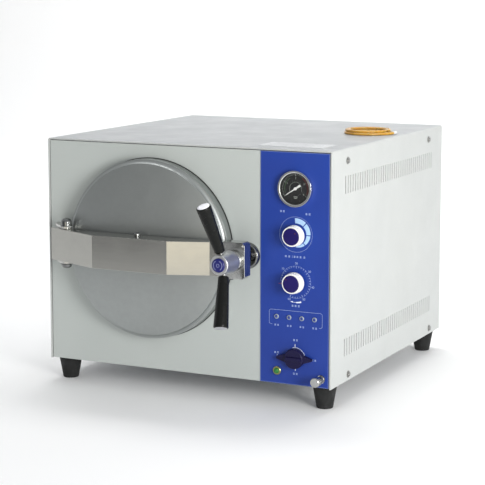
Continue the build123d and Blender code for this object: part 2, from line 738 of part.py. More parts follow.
knob_neck_radius = 8.0
knob_base_radius = 15.8
knob_top_radius = 14.9
knob_base_depth = (-6.0, -9.0)
knob_face_depth = -18.5
knob_back = front_skin - knob_gap
cap_radius = 12.7
cap_seat = knob_face_depth + 1.5
flutes = 24
flute_radius = 1.3


def skirt_knob(z):
    """Round knob with a fluted edge, bored for its spindle, and hollowed at the front for its cap."""
    turned(column_x, z, [(spindle_radius, knob_back), (knob_neck_radius, knob_back),
                         (knob_neck_radius, knob_base_depth[0]), (knob_base_radius, knob_base_depth[0]),
                         (knob_base_radius, knob_base_depth[1]),
                         (knob_top_radius + 0.6, knob_base_depth[1] - 1.5),
                         (knob_top_radius, knob_face_depth + 1), (knob_top_radius - 0.7, knob_face_depth),
                         (cap_radius, knob_face_depth), (cap_radius, cap_seat), (spindle_radius, cap_seat)])
    with BuildSketch(fore_plane(column_x, z, knob_base_depth[1] - 1.5)) as cuts:
        with PolarLocations(knob_top_radius + 0.8, flutes):
            Circle(flute_radius)
    extrude(cuts.sketch, amount=-knob_face_depth, mode=Mode.SUBTRACT)


def knob_cap(z):
    """Thin round cap let into the front of a knob, slightly crowned."""
    edge = cap_radius - 0.1
    turned(column_x, z, [(0, cap_seat), (edge, cap_seat), (edge, knob_face_depth - 0.2),
                         (edge - 0.7, knob_face_depth - 0.8), (0, knob_face_depth - 1.1)])


def spindle(z, front, rear):
    """Round spindle of a knob."""
    bore(column_x, z, spindle_radius, (front, rear), Mode.ADD)


def panel_unit(z, half, rear):
    """Body behind the panel with a threaded neck through it, bored for a spindle."""
    block((column_x - half, column_x + half), (panel_sheet, rear), (z - half, z + half))
    bore(column_x, z, neck_radius, (front_skin, panel_sheet + 1), Mode.ADD)
    bore(column_x, z, spindle_radius + running, (front_skin - 1, rear - 6))


with BuildPart() as pressure_knob:
    skirt_knob(pressure_z)
save(pressure_knob.part, "pressure_knob")
with BuildPart() as pressure_knob_cap:
    knob_cap(pressure_z)
save(pressure_knob_cap.part, "pressure_knob_cap")
with BuildPart() as pressure_spindle:
    spindle(pressure_z, cap_seat, 12)
save(pressure_spindle.part, "pressure_spindle")
with BuildPart() as pressure_controller:
    panel_unit(pressure_z, 21.0, 38.0)
save(pressure_controller.part, "pressure_controller")

with BuildPart() as timer_knob:
    skirt_knob(timer_z)
save(timer_knob.part, "timer_knob")
with BuildPart() as timer_knob_cap:
    knob_cap(timer_z)
save(timer_knob_cap.part, "timer_knob_cap")
with BuildPart() as timer_spindle:
    spindle(timer_z, cap_seat, 12)
save(timer_spindle.part, "timer_spindle")
with BuildPart() as timer_movement:
    panel_unit(timer_z, 23.0, 44.0)
save(timer_movement.part, "timer_movement")

selector_radius = 15.0
selector_face = -10.0
wing_depth = (-8.0, -1.6)
wing_tip = (28.0, 1.5)
wing_root = (12.0, 7.0)
finger_bar = (26.0, 6.0, 3.0)  # length, width, height
with BuildPart() as selector_knob:
    turned(column_x, selector_z, [(0, knob_back), (selector_radius, knob_back),
                                  (selector_radius, selector_face + 1.5),
                                  (selector_radius - 1, selector_face), (0, selector_face)])
    with BuildSketch(fore_plane(column_x, selector_z, wing_depth[1])) as wings:
        with BuildLine():
            Polyline(wing_tip, wing_root, (-wing_root[0], wing_root[1]), (-wing_tip[0], wing_tip[1]),
                     (-wing_tip[0], -wing_tip[1]), (-wing_root[0], -wing_root[1]),
                     (wing_root[0], -wing_root[1]), (wing_tip[0], -wing_tip[1]), close=True)
        make_face()
    extrude(wings.sketch, amount=wing_depth[1] - wing_depth[0])
    with BuildSketch(fore_plane(column_x, selector_z, selector_face)) as bar:
        SlotOverall(finger_bar[0], finger_bar[1])
    extrude(bar.sketch, amount=finger_bar[2], taper=6)
    bore(column_x, selector_z, spindle_radius, (selector_face, 0))
save(selector_knob.part, "selector_knob")
with BuildPart() as selector_stem:
    spindle(selector_z, selector_face, 14)
save(selector_stem.part, "selector_stem")
with BuildPart() as selector_valve:
    panel_unit(selector_z, 19.0, 46.0)
    for pipe_z in (-1, 1):
        bore_up(column_x, 28.0, 6.0, sorted((selector_z + pipe_z * 19.0, selector_z + pipe_z * 27.0)),
                Mode.ADD)
save(selector_valve.part, "selector_valve")

lamp_radius = 3.4
with BuildPart() as indicator_lamps:
    for lamp_x in lamp_places:
        turned(lamp_x, lamp_z,
               [(0, -2.8), (1.6, -2.6), (2.9, -2.0), (lamp_radius, -1.3), (lamp_radius, front_skin),
                (lamp_body_radius, front_skin), (lamp_body_radius, 12), (0, 12)])
save(indicator_lamps.part, "indicator_lamps")

button_radius = 4.0
button_bore = button_radius + 0.15
with BuildPart() as power_switch:
    turned(button_x, button_z, [(button_bore, -3.2), (5.4, -3.2), (6.4, -2.4), (6.4, front_skin),
                                (neck_radius, front_skin), (neck_radius, panel_sheet), (9.0, panel_sheet),
                                (9.0, 18), (0, 18), (0, 5), (button_bore, 5)])
save(power_switch.part, "power_switch")
with BuildPart() as power_button:
    turned(button_x, button_z, [(0, -6), (2.4, -5.8), (button_radius - 0.3, -5.0), (button_radius, -4.4),
                                (button_radius, 1), (0, 1)])
save(power_button.part, "power_button")

cock_front = -26.5
with BuildPart() as drain_cock_body:
    turned(cock_x, cock_z, [(0, -17), (3.4, -17), (3.4, -8), (5, -8), (5, -3.4), (6.4, -3.4),
                            (6.4, front_skin),
                            (cock_neck_radius, front_skin), (cock_neck_radius, 16), (7, 16), (7, 28),
                            (0, 28)])
save(drain_cock_body.part, "drain_cock_body")
with BuildPart() as drain_cock_knob:
    turned(cock_x, cock_z, [(0, cock_front), (6.2, cock_front), (7.2, cock_front + 1), (7.2, -15),
                            (6.4, -14), (4.4, -14), (4.4, -10), (3.4 + running, -10),
                            (3.4 + running, -17.4), (0, -17.4)])
    with BuildSketch(fore_plane(cock_x, cock_z, -14.5)) as knurl:
        with PolarLocations(7.5, 16):
            Circle(0.7)
    extrude(knurl.sketch, amount=15, mode=Mode.SUBTRACT)
save(drain_cock_knob.part, "drain_cock_knob")

# ---------------------------------------------------------------- rear and inner services

with BuildPart() as safety_valve_body:
    turned(valve_x, valve_z, [(0, port_end), (9, port_end), (9, rear_face), (11, rear_face),
                              (11, rear_face + 5),
                              (8, rear_face + 6), (8, rear_face + 14), (2 + running, rear_face + 14),
                              (2 + running, rear_face - 6), (0, rear_face - 6)])
save(safety_valve_body.part, "safety_valve_body")
ring_rear = cabinet_depth + rear_reach
with BuildPart() as safety_valve_ring:
    turned(valve_x, valve_z, [(0, rear_face - 2), (2, rear_face - 2), (2, ring_rear - 8),
                              (6.5, ring_rear - 8),
                              (7.5, ring_rear - 7), (7.5, ring_rear - 1), (6.5, ring_rear), (0, ring_rear)])
save(safety_valve_ring.part, "safety_valve_ring")

with BuildPart() as power_inlet:
    block((inlet_x - 24, inlet_x + 24), (rear_face, rear_face + 3), (inlet_z - 15, inlet_z + 15))
    block((inlet_x - 14, inlet_x + 14), (rear_face - 22, rear_face), (inlet_z - 10.2, inlet_z + 10.2))
    block((inlet_x - 12, inlet_x + 12), (rear_face - 15, rear_face + 4),
          (inlet_z - 8, inlet_z + 8), Mode.SUBTRACT)
    for pin_x, pin_z in ((-7.0, -2.5), (0.0, 0.0), (7.0, -2.5)):
        block((inlet_x + pin_x - 1, inlet_x + pin_x + 1), (rear_face - 15, rear_face),
              (inlet_z + pin_z, inlet_z + pin_z + 5))
save(power_inlet.part, "power_inlet")

tank_x = (112.0, 222.0)
tank_depth = (230.0, 430.0)
tank_z = (bottom_z + 90.0, bottom_z + 250.0)
tank_wall = 1.5
filler = (180.0, 300.0)
filler_radius = 12.0
with BuildPart() as water_tank:
    block(tank_x, tank_depth, tank_z)
    fillet(water_tank.edges().filter_by(Axis.Z), radius=8.0)
    block((tank_x[0] + tank_wall, tank_x[1] - tank_wall),
          (tank_depth[0] + tank_wall, tank_depth[1] - tank_wall),
          (tank_z[0] + tank_wall, tank_z[1] - tank_wall), Mode.SUBTRACT)
    bore_up(filler[0], filler[1], filler_radius, (tank_z[1] - 3, tank_z[1] + 1))
save(water_tank.part, "water_tank")

pipe_radius = 4.0


def pipe(points, radius):
    """Bent round pipe through the given (x, depth, height) corners."""
    corners = [(x, front_y + depth, z) for x, depth, z in points]
    with BuildLine() as route:
        FilletPolyline(*corners, radius=radius)
    start = Vector(*corners[0])
    with BuildSketch(Plane(origin=start, z_dir=Vector(*corners[1]) - start)) as section:
        Circle(pipe_radius)
    sweep(sections=section.sketch, path=route.line)


with BuildPart() as steam_pipes:
    pipe([(port_x, port_end, port_z), (port_x, port_end + 10, port_z), (104, port_end + 10, port_z),
          (104, 90, port_z), (104, 90, gauge_z - 2), (column_x, 90, gauge_z - 2),
          (column_x, 60, gauge_z - 2)], 9.0)
    pipe([(column_x, 28, selector_z + 27), (column_x, 28, selector_z + 52),
          (column_x, 150, selector_z + 52),
          (column_x, 150, tank_z[0] + 100), (column_x, tank_depth[0], tank_z[0] + 100)], 11.0)
save(steam_pipes.part, "steam_pipes")

# ---------------------------------------------------------------- hose coil on the top

coil_round = 1.6
coil_top = top_z + coil_height
with BuildPart() as hose_coil:
    turned_up(coil_x, coil_y,
              [(coil_inner, top_z + coil_round), (coil_inner + coil_round, top_z),
               (coil_radius - coil_round, top_z), (coil_radius, top_z + coil_round),
               (coil_radius, coil_top - coil_round), (coil_radius - coil_round, coil_top),
               (coil_inner + coil_round, coil_top), (coil_inner, coil_top - coil_round)])
save(hose_coil.part, "hose_coil")

fitting_radius = 2.6
fitting_length = 12.0
fitting_x = coil_x + coil_radius + fitting_radius + 0.3
with BuildPart() as hose_fitting:
    bore(fitting_x, top_z + fitting_radius, fitting_radius, (coil_y - 2, coil_y - 2 + fitting_length),
         Mode.ADD)
save(hose_fitting.part, "hose_fitting")
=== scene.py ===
import json
from math import cos, pi, radians, sin

import bmesh
import bpy
from mathutils import Matrix, Vector

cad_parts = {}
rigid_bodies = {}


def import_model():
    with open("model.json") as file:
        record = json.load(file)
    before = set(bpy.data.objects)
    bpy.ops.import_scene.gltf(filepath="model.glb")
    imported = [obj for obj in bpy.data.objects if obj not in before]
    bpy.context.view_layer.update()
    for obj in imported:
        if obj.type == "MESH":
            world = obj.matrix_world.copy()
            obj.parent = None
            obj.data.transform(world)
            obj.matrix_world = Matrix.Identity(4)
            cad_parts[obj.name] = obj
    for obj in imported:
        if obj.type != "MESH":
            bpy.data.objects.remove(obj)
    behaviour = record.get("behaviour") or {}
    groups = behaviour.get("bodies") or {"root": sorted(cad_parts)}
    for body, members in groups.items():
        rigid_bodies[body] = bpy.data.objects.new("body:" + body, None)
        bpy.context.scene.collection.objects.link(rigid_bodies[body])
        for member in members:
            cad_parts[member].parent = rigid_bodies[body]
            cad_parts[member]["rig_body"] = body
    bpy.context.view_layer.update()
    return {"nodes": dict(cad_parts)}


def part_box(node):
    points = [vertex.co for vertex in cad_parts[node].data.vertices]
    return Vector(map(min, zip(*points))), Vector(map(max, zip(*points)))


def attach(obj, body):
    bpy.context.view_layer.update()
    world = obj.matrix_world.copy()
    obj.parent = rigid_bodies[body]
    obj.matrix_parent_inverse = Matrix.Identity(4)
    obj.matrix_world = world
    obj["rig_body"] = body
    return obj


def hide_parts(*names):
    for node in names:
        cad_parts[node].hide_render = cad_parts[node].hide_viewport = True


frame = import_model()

# Benchtop autoclave: the looks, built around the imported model. Metres, +Z up, -Y is the front.

mm = 0.001
scene = bpy.context.scene
scene.view_settings.view_transform = "Standard"


def low(node):
    """Lowest corner of a CAD node."""
    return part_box(node)[0]


def high(node):
    """Highest corner of a CAD node."""
    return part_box(node)[1]


def middle(node):
    """Middle of a CAD node's box."""
    return (low(node) + high(node)) / 2


def direction(azimuth, height):
    """Unit vector at an azimuth from the front and a height, in degrees."""
    turn = radians(azimuth)
    rise = radians(height)
    return Vector((sin(turn) * cos(rise), -cos(turn) * cos(rise), sin(rise)))


# ---------------------------------------------------------------- camera

camera_azimuth = 25.953
camera_elevation = 7.482
camera_distance = 2397.6 * mm
camera_target = low("cover") + Vector((335.3, 0, 279.9)) * mm

camera = bpy.data.objects.new("camera", bpy.data.cameras.new("camera"))
scene.collection.objects.link(camera)
scene.camera = camera
camera_back = direction(camera_azimuth, camera_elevation)
camera.location = camera_target + camera_back * camera_distance
camera.rotation_euler = (-camera_back).to_track_quat("-Z", "Y").to_euler()
camera.data.lens = 120.64
camera.data.shift_x = 0.0025
camera.data.shift_y = -0.099
camera.data.clip_start = 0.05
camera.data.clip_end = 50

# ---------------------------------------------------------------- material kit


class Surface:
    """A Principled material being made, textured in a piece's own coordinates."""

    def __init__(self, name, colour, roughness, metallic=0.0, **sockets):
        self.material = bpy.data.materials.new(name)
        self.material.use_nodes = True
        self.nodes = self.material.node_tree.nodes
        self.shader = self.nodes["Principled BSDF"]
        self.place = self.nodes.new("ShaderNodeTexCoord").outputs["Object"]
        self.colour = (*colour, 1.0)
        self.roughness = roughness
        self.normal = None
        self.set(self.shader, "Base Color", self.colour)
        self.set(self.shader, "Roughness", roughness)
        self.set(self.shader, "Metallic", metallic)
        for socket, value in sockets.items():
            self.set(self.shader, socket.replace("_", " "), value)

    def set(self, node, socket, value):
        """Links an output to a socket, or gives the socket a plain value."""
        if isinstance(value, bpy.types.NodeSocket):
            self.material.node_tree.links.new(value, node.inputs[socket])
        elif value is not None:
            node.inputs[socket].default_value = value

    def noise(self, scale, detail=3.0, stretch=(1, 1, 1), low=0.3, high=0.7, rough=0.55):
        """Noise of so many cells a metre, stretched along the axes, spread over 0 to 1."""
        mapping = self.nodes.new("ShaderNodeMapping")
        self.set(mapping, "Vector", self.place)
        self.set(mapping, "Scale", stretch)
        noise = self.nodes.new("ShaderNodeTexNoise")
        self.set(noise, "Vector", mapping.outputs["Vector"])
        self.set(noise, "Scale", scale)
        self.set(noise, "Detail", detail)
        self.set(noise, "Roughness", rough)
        return self.spread(noise.outputs["Fac"], low, high, 0.0, 1.0)

    def spread(self, value, low, high, bottom, top):
        """Value mapped from low..high to bottom..top, and held there."""
        spread = self.nodes.new("ShaderNodeMapRange")
        self.set(spread, "Value", value)
        self.set(spread, "From Min", low)
        self.set(spread, "From Max", high)
        self.set(spread, "To Min", bottom)
        self.set(spread, "To Max", top)
        return spread.outputs["Result"]

    def upward(self):
        """1 on the faces that look up, 0 on the rest."""
        parts = self.nodes.new("ShaderNodeSeparateXYZ")
        self.set(parts, "Vector", self.nodes.new("ShaderNodeTexCoord").outputs["Normal"])
        return self.spread(parts.outputs["Z"], 0.7, 0.95, 0.0, 1.0)

    def sum(self, kind, first, second):
        """Arithmetic on two values."""
        math = self.nodes.new("ShaderNodeMath")
        math.operation = kind
        math.use_clamp = kind != "SUBTRACT"
        self.set(math, 0, first)
        self.set(math, 1, second)
        return math.outputs[0]

    def tint(self, mask, colour, amount=1.0):
        """Moves the colour towards another where the mask is 1."""
        mix = self.nodes.new("ShaderNodeMix")
        mix.data_type = "RGBA"
        self.set(mix, 0, self.sum("MULTIPLY", mask, amount))
        self.set(mix, 6, self.colour)
        self.set(mix, 7, (*colour, 1.0))
        self.colour = mix.outputs[2]
        self.set(self.shader, "Base Color", self.colour)
        return self

    def gloss(self, mask, bottom, top):
        """Roughness from bottom to top as the mask goes from 0 to 1."""
        self.roughness = self.spread(mask, 0.0, 1.0, bottom, top)
        self.set(self.shader, "Roughness", self.roughness)
        return self

    def bump(self, height, depth, strength=1.0):
        """Relief of so many metres, on top of any before it."""
        bump = self.nodes.new("ShaderNodeBump")
        self.set(bump, "Strength", strength)
        self.set(bump, "Distance", depth)
        self.set(bump, "Height", height)
        self.set(bump, "Normal", self.normal)
        self.normal = bump.outputs["Normal"]
        self.set(self.shader, "Normal", self.normal)
        return self

    def edges(self, radius, patchy=60.0):
        """Mask that is 1 along edges, broken up by noise."""
        bevel = self.nodes.new("ShaderNodeBevel")
        bevel.samples = 4
        self.set(bevel, "Radius", radius)
        dot = self.nodes.new("ShaderNodeVectorMath")
        dot.operation = "DOT_PRODUCT"
        self.set(dot, 0, bevel.outputs["Normal"])
        self.set(dot, 1, self.nodes.new("ShaderNodeNewGeometry").outputs["Normal"])
        edge = self.spread(dot.outputs["Value"], 0.99, 0.85, 0.0, 1.0)
        return self.sum("MULTIPLY", edge, self.noise(patchy, 4.0))

    def lines(self, scale, axis="Z", distortion=0.0):
        """Fine parallel bands across an axis."""
        wave = self.nodes.new("ShaderNodeTexWave")
        wave.bands_direction = axis
        self.set(wave, "Vector", self.place)
        self.set(wave, "Scale", scale)
        self.set(wave, "Distortion", distortion)
        return wave.outputs["Fac"]


def scaled(colour, factor, lift=0.0):
    """Colour times a factor, lifted a little, no part over 1."""
    return tuple(min(1.0, lift + factor * part) for part in colour)


def powder_coat(name, colour, shade, roughness=0.38):
    """Baked powder coat: orange peel, clouding, rubbed edges, and a painted reflection that makes what looks
    up darker and cooler.
    """
    made = Surface(name, colour, roughness, Coat_Weight=0.08, Coat_Roughness=0.3)
    made.tint(made.noise(5.0, 2.0), shade, 0.55)
    made.tint(made.noise(420.0, 2.0), scaled(colour, 0.93), 0.4)
    # Painted reflection: the faces that look up are painted darker and cooler.
    painted_top_reflection = (0.81, 0.82, 0.87)
    made.tint(made.upward(), tuple(part * dim for part, dim in zip(colour, painted_top_reflection)), 0.9)
    made.tint(made.edges(1.4 * mm), scaled(colour, 1.12), 0.5)
    made.gloss(made.noise(22.0, 5.0), roughness - 0.06, roughness + 0.1)
    made.bump(made.noise(850.0, 2.0), 0.035 * mm)
    return made.material


def brushed(name, colour, roughness, stretch, shade=0.72, streak=260.0, strength=1.0):
    """Metal with a directional grain, handling smudges and a few longer scratches."""
    made = Surface(name, colour, roughness, 1.0)
    grain = made.noise(streak, 6.0, stretch)
    made.tint(grain, scaled(colour, shade), 0.5)
    made.tint(made.noise(9.0, 3.0), scaled(colour, 0.85), 0.35)
    # Painted highlight: edges and folds painted lighter.
    made.tint(made.edges(0.9 * mm), scaled(colour, 1.3), 0.5)
    half_grain = made.sum("MULTIPLY", grain, 0.5)
    smudge = made.sum("ADD", half_grain, made.sum("MULTIPLY", made.noise(35.0, 5.0), 0.5))
    made.gloss(smudge, roughness - 0.08 * strength, roughness + 0.12 * strength)
    made.bump(grain, 0.012 * mm, strength)
    scratches = made.noise(70.0, 8.0, tuple(0.3 * part for part in stretch), 0.62, 0.72)
    made.bump(scratches, 0.01 * mm, strength)
    return made.material


def polished(name, colour, roughness=0.08, dull=0.22):
    """Plated or polished metal: near mirror, with dull patches, hairline wear and water spots."""
    made = Surface(name, colour, roughness, 1.0)
    made.tint(made.noise(40.0, 4.0), scaled(colour, 0.82), 0.5)
    made.tint(made.edges(0.6 * mm, 200.0), scaled(colour, 0.6), 0.4)
    made.gloss(made.noise(90.0, 6.0), roughness, dull)
    made.bump(made.noise(500.0, 5.0), 0.006 * mm)
    return made.material


def moulded(name, colour, roughness, shade=0.8, **sockets):
    """Moulded plastic: faint flow marks, fine texture, lighter rubbed edges and finger gloss."""
    made = Surface(name, colour, roughness, **sockets)
    made.tint(made.noise(30.0, 4.0, (1, 1, 2.5)), scaled(colour, shade), 0.5)
    made.tint(made.edges(0.7 * mm, 120.0), scaled(colour, 1.35, 0.02), 0.5)
    made.gloss(made.noise(45.0, 5.0), max(0.03, roughness - 0.07), roughness + 0.1)
    made.bump(made.noise(1400.0, 2.0), 0.01 * mm)
    return made.material


def rubber(name, colour):
    """Matt rubber with a dusty bloom and a pebbled skin."""
    made = Surface(name, colour, 0.72, Sheen_Weight=0.04, Sheen_Roughness=0.5, Specular_IOR_Level=0.3)
    made.tint(made.noise(60.0, 6.0, low=0.45, high=0.75), (0.026, 0.027, 0.028), 0.5)
    made.tint(made.edges(1.2 * mm, 90.0), (0.05, 0.05, 0.05), 0.5)
    made.gloss(made.noise(80.0, 4.0), 0.58, 0.85)
    made.bump(made.noise(1100.0, 3.0), 0.06 * mm)
    return made.material


def printed(name, colour, roughness=0.4):
    """Screen-printed ink, slightly uneven and a little worn."""
    made = Surface(name, colour, roughness)
    made.tint(made.noise(700.0, 4.0), scaled(colour, 0.78), 0.6)
    made.gloss(made.noise(150.0, 3.0), roughness - 0.1, roughness + 0.15)
    made.bump(made.noise(1800.0, 2.0), 0.01 * mm)
    return made.material


def blue_film():
    """Glossy blue control overlay, with a fine matt grain and a faint darker clouding."""
    made = Surface("overlay_film", (0.014, 0.047, 0.285), 0.4, Specular_IOR_Level=0.3)
    made.tint(made.noise(7.0, 3.0), (0.010, 0.030, 0.215), 0.7)
    made.tint(made.noise(900.0, 2.0), (0.020, 0.050, 0.29), 0.35)
    made.gloss(made.noise(28.0, 6.0), 0.32, 0.5)
    made.bump(made.noise(1500.0, 2.0), 0.02 * mm)
    made.bump(made.noise(4.0, 1.0), 0.25 * mm, 0.4)
    return made.material


def hose_silicone():
    """Amber silicone tube, waxy and partly see-through."""
    made = Surface("hose_amber", (0.62, 0.34, 0.03), 0.3, Subsurface_Weight=0.3, Subsurface_Scale=0.003,
                   Transmission_Weight=0.12, Coat_Weight=0.2)
    made.tint(made.noise(60.0, 4.0), (0.42, 0.20, 0.012), 0.6)
    made.tint(made.noise(500.0, 3.0), (0.8, 0.47, 0.12), 0.35)
    made.gloss(made.noise(140.0, 5.0), 0.2, 0.45)
    made.bump(made.noise(700.0, 3.0), 0.02 * mm)
    return made.material


def lens_plastic():
    """Clear gauge window: see-through, with a faint haze and fine hairlines."""
    made = Surface("gauge_window", (0.03, 0.033, 0.036), 0.05, Alpha=0.06, Specular_IOR_Level=0.3)
    made.tint(made.noise(60.0, 4.0), (0.09, 0.095, 0.1), 0.5)
    made.gloss(made.noise(120.0, 6.0, (1, 1, 0.2)), 0.02, 0.14)
    made.bump(made.noise(900.0, 3.0), 0.002 * mm)
    return made.material


def lamp_plastic():
    """Small domed lamp window, deep blue, a little uneven."""
    made = Surface("lamp_window", (0.020, 0.035, 0.20), 0.25, Specular_IOR_Level=0.4)
    made.tint(made.noise(500.0, 3.0), (0.06, 0.09, 0.32), 0.5)
    made.gloss(made.noise(300.0, 3.0), 0.18, 0.36)
    made.bump(made.lines(900.0, "Z"), 0.02 * mm)
    return made.material


def wool_jacket():
    """Foil-faced insulation blanket, crinkled."""
    made = Surface("jacket_foil", (0.62, 0.62, 0.6), 0.42, 0.8)
    made.tint(made.noise(80.0, 5.0), (0.4, 0.4, 0.39), 0.6)
    made.gloss(made.noise(120.0, 5.0), 0.3, 0.6)
    made.bump(made.noise(95.0, 8.0), 0.9 * mm)
    return made.material


across = (0.04, 1, 1)
even = (1, 1, 1)
finishes = {
    "cover_paint": powder_coat("cover_coat", (0.445, 0.46, 0.45), (0.42, 0.438, 0.44)),
    "front_paint": powder_coat("front_coat", (0.44, 0.47, 0.455), (0.405, 0.44, 0.43), 0.42),
    "zinc_sheet": brushed("zinc_sheet", (0.56, 0.58, 0.6), 0.42, even, 0.7, 90.0),
    "screw_steel": polished("screw_plating", (0.30, 0.30, 0.29), 0.2, 0.4),
    "foot_rubber": rubber("foot_rubber", (0.009, 0.0095, 0.0095)),
    "plate_film": printed("plate_film", (0.66, 0.675, 0.69), 0.35),
    "stainless": brushed("stainless_sheet", (0.55, 0.55, 0.53), 0.3, across),
    "insulation": wool_jacket(),
    "chrome": polished("chrome_plating", (0.66, 0.67, 0.66), 0.06, 0.18),
    "overlay_blue": blue_film(),
    "gauge_black": moulded("gauge_shell", (0.02, 0.02, 0.022), 0.4),
    "dial_face": printed("dial_enamel", (0.008, 0.008, 0.009), 0.6),
    "clear_lens": lens_plastic(),
    "needle_white": printed("needle_enamel", (0.85, 0.86, 0.85), 0.4),
    "inner_plastic": moulded("inner_plastic", (0.05, 0.05, 0.055), 0.5),
    "brass": polished("brass_fitting", (0.72, 0.5, 0.2), 0.2, 0.38),
    "nickel": polished("nickel_plating", (0.50, 0.505, 0.495), 0.12, 0.26),
    "lamp_blue": lamp_plastic(),
    "black_plastic": moulded("black_plastic", (0.025, 0.025, 0.027), 0.45),
    "copper": polished("copper_pipe", (0.75, 0.38, 0.22), 0.2, 0.42),
    "hose_amber": hose_silicone(),
    "fitting_white": moulded("fitting_white", (0.72, 0.73, 0.75), 0.35),
    "arm_steel": brushed("arm_steel", (0.455, 0.45, 0.42), 0.2, across, 0.92, 200.0, 0.4),
    "door_steel": brushed("door_steel", (0.39, 0.41, 0.405), 0.46, even, 0.92, 120.0, 0.4),
    "silicone": moulded("door_silicone", (0.68, 0.66, 0.6), 0.5, 0.9, Subsurface_Weight=0.15),
    "steel_screw": brushed("thread_steel", (0.5, 0.49, 0.46), 0.28, even),
    "hub_metal": polished("hub_plating", (0.56, 0.565, 0.57), 0.34, 0.46),
    "cap_blue": moulded("cap_blue", (0.007, 0.009, 0.115), 0.3, Specular_IOR_Level=0.35),
    "grip_black": moulded("grip_phenolic", (0.0035, 0.004, 0.0035), 0.24, Specular_IOR_Level=0.22),
    "knob_white": moulded("knob_phenolic", (0.82, 0.81, 0.78), 0.2, 0.93, Coat_Weight=0.4,
                          Coat_Roughness=0.1),
    "cap_indigo": moulded("cap_indigo", (0.010, 0.005, 0.095), 0.34, Specular_IOR_Level=0.3),
    "selector_indigo": moulded("selector_indigo", (0.006, 0.004, 0.038), 0.38, Specular_IOR_Level=0.25),
    "button_green": moulded("button_green", (0.02, 0.17, 0.03), 0.3),
}

# ---------------------------------------------------------------- piece kit


def add_piece(name, mesh, body, slot, finish=None):
    """New object of a mesh, riding on a body, with its slot's finish unless another is given."""
    piece = bpy.data.objects.new(name, mesh)
    scene.collection.objects.link(piece)
    piece.data.materials.clear()
    piece.data.materials.append(finish or finishes[slot])
    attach(piece, body)
    return piece


def to_mesh(name, shape):
    """Mesh of a bmesh, which is freed."""
    mesh = bpy.data.meshes.new(name)
    shape.to_mesh(mesh)
    shape.free()
    return mesh


def add_shape(name, shape, body, slot, finish=None):
    """New piece of a bmesh, as add_piece makes one."""
    return add_piece(name, to_mesh(name, shape), body, slot, finish)


def shade(shape, angle=38.0):
    """Smooth faces, split where they meet at more than an angle."""
    for face in shape.faces:
        face.smooth = True
    for edge in shape.edges:
        edge.smooth = len(edge.link_faces) == 2 and edge.calc_face_angle(pi) < radians(angle)


def round_edges(shape, width, angle, segments):
    """Rounds every edge sharper than an angle."""
    sharp = [edge for edge in shape.edges
             if len(edge.link_faces) == 2 and edge.calc_face_angle(0) > radians(angle)]
    bmesh.ops.bevel(shape, geom=sharp, offset=width, segments=segments, profile=0.5, affect="EDGES",
                    clamp_overlap=False)


weld_distance = 0.001 * mm
flat_angle = radians(0.3)
fold_angle = 32.0  # degrees from which an edge counts as a fold
fold_angles = {"crossbar_arm": 9.0}


def refined(node, width=0.3, segments=2, finish=None):
    """Piece that stands for a CAD node: its own shape, welded, with rounded edges and smooth shading."""
    fold = fold_angles.get(node, fold_angle)
    source = frame["nodes"][node]
    shape = bmesh.new()
    shape.from_mesh(source.data)
    bmesh.ops.remove_doubles(shape, verts=shape.verts, dist=weld_distance)
    bmesh.ops.dissolve_limit(shape, angle_limit=flat_angle, verts=shape.verts, edges=shape.edges)
    if width:
        round_edges(shape, width * mm, fold, segments)
    shade(shape, fold + 6.0)
    mesh = to_mesh(node + "_mesh", shape)
    slot = source.data.materials[0].name
    piece = add_piece(node + "_detailed", mesh, source["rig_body"], slot, finish)
    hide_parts(node)
    weigh = piece.modifiers.new("weigh", "WEIGHTED_NORMAL")
    weigh.keep_sharp = True
    return piece


# ---------------------------------------------------------------- hose coil

hose_radius = 2.0 * mm
coil_centre = middle("hose_coil")
coil_floor = low("hose_coil").z + hose_radius
turn_points = 16
turns = ((35.5, 3.9), (31.3, 3.7), (29.4, 0.0), (33.5, 0.0), (37.7, 0.0))  # radius and rise, in millimetres
top_rise = turns[0][1]
top_drift = 0.5 * mm
turn_hold = 0.7  # share of a turn that keeps its radius; the rest moves over to the next turn
turn_change = 0.3


def hose_route():
    """Points of the coiled hose: two turns on top, then three on the cover, then out to the fitting."""
    points = []
    for number, (radius, rise) in enumerate(turns):
        follow = turns[min(number + 1, len(turns) - 1)]
        for step in range(turn_points):
            share = step / turn_points
            ease = max(0.0, (share - turn_hold) / turn_change)
            angle = 2 * pi * share
            reach = (radius + (follow[0] - radius) * ease) * mm
            drift = top_drift * rise / top_rise
            points.append(coil_centre + Vector((reach * cos(angle) - drift, reach * sin(angle), 0)))
            points[-1].z = coil_floor + (rise + (follow[1] - rise) * ease) * mm
    last = points[-1]
    fitting = middle("hose_fitting")
    mouth = low("hose_fitting").y
    points.append(Vector((last.x + 4.4 * mm, last.y + 7.2 * mm, last.z)))
    points.append(Vector((fitting.x - 0.5 * mm, mouth - 2.5 * mm, fitting.z)))
    points.append(Vector((fitting.x, mouth + 1.5 * mm, fitting.z)))
    points.append(Vector((fitting.x, mouth + 5 * mm, fitting.z)))
    return points


def build_hose():
    """The hose as one smooth spline."""
    line = bpy.data.curves.new("hose_line", "CURVE")
    line.dimensions = "3D"
    spline = line.splines.new("NURBS")
    route = hose_route()
    spline.points.add(len(route) - 1)
    for point, place in zip(spline.points, route):
        point.co = (*place, 1.0)
    spline.order_u = 3
    spline.use_endpoint_u = True
    spline.resolution_u = 6
    line.bevel_depth = hose_radius
    line.bevel_resolution = 5
    line.use_fill_caps = True
    hose = add_piece("drain_hose", line, "cabinet", "hose_amber")
    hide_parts("hose_coil")
    return route, hose


route, hose = build_hose()
fitting_piece = refined("hose_fitting", 0.6, 3)

# ---------------------------------------------------------------- pieces that keep their CAD shape

